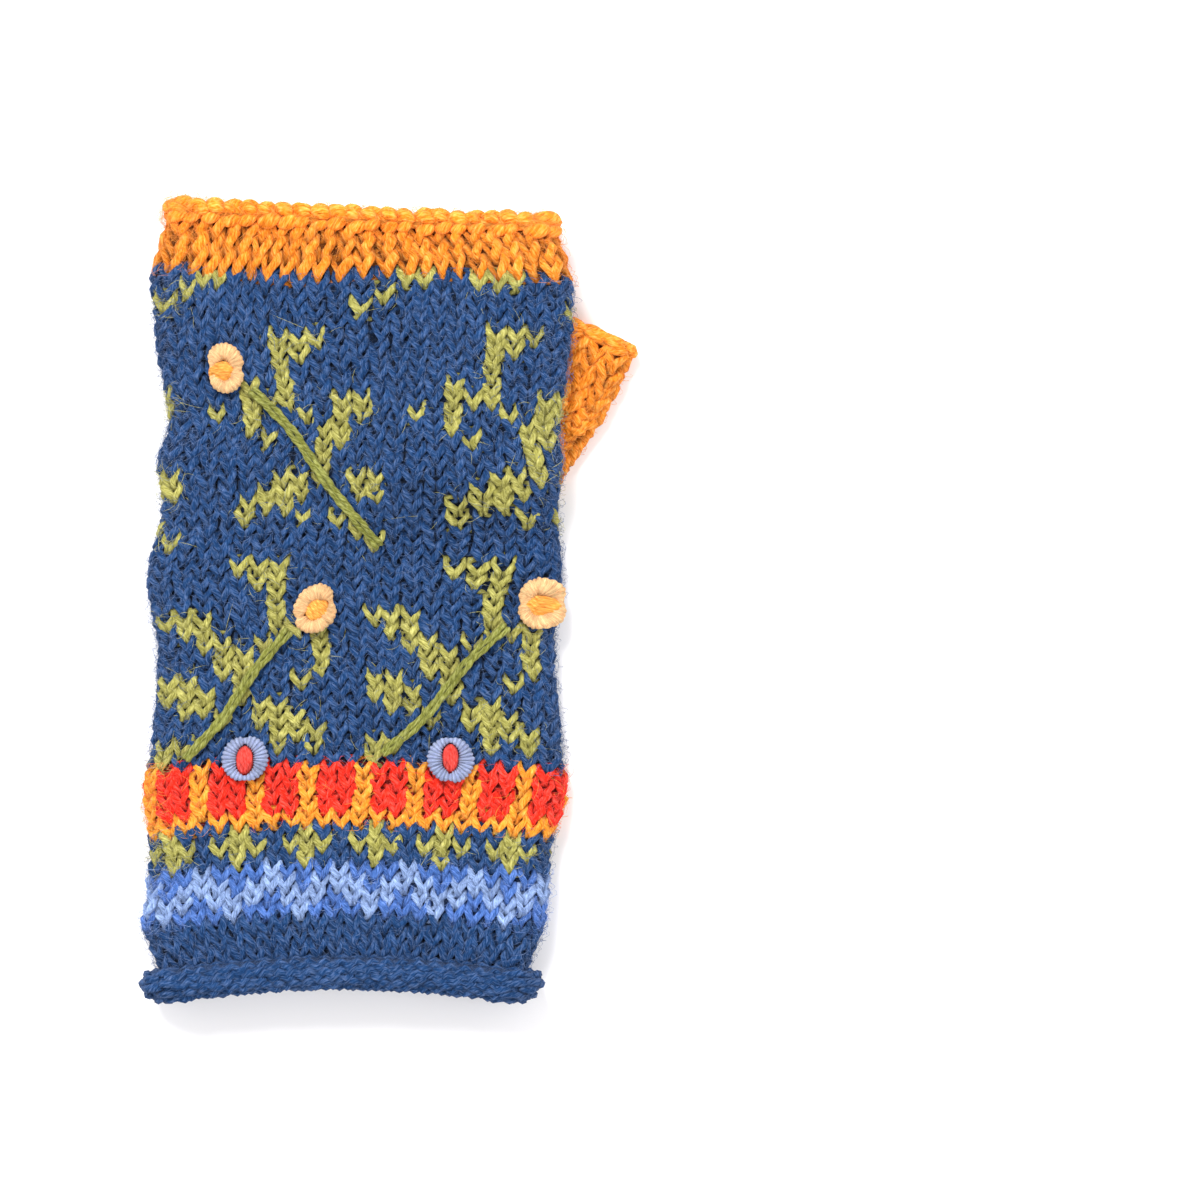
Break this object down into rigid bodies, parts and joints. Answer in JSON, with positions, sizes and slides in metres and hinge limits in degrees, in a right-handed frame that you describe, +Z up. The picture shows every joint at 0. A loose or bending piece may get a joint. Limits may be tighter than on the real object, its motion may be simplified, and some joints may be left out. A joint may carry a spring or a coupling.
{
  "type": "knitted hand warmer",
  "caption": "Fingerless knitted hand warmer: a flat colourwork tube with a rolled wrist edge, a thumb tube and embroidered flowers.",
  "frame": {"origin": "middle of the bounding box, on the surface that the palm lies on", "axes": "+Y from wrist to fingers, +Z up out of the back of the hand, +X towards the thumb's side"},
  "size_m": [0.1234, 0.2012, 0.0245],
  "materials": {
    "navy_wool": "heathered wool",
    "light_blue_wool": "wool",
    "red_wool": "wool",
    "orange_wool": "wool",
    "peach_wool": "wool",
    "green_wool": "wool"
  },
  "bodies": {
    "root": {"wrist_roll": "navy_wool", "wave_band": "light_blue_wool", "sprig_band": "navy_wool", "block_band": "red_wool", "hand_body": "navy_wool", "finger_band": "orange_wool", "thumb_tube": "orange_wool", "petals_peach_1": "peach_wool", "button_peach_1": "orange_wool", "petals_peach_2": "peach_wool", "button_peach_2": "orange_wool", "petals_peach_3": "peach_wool", "button_peach_3": "orange_wool", "petals_blue_1": "light_blue_wool", "button_blue_1": "red_wool", "petals_blue_2": "light_blue_wool", "button_blue_2": "red_wool", "stem_1": "green_wool", "stem_2": "green_wool", "stem_3": "green_wool"}
  },
  "joints": []
}
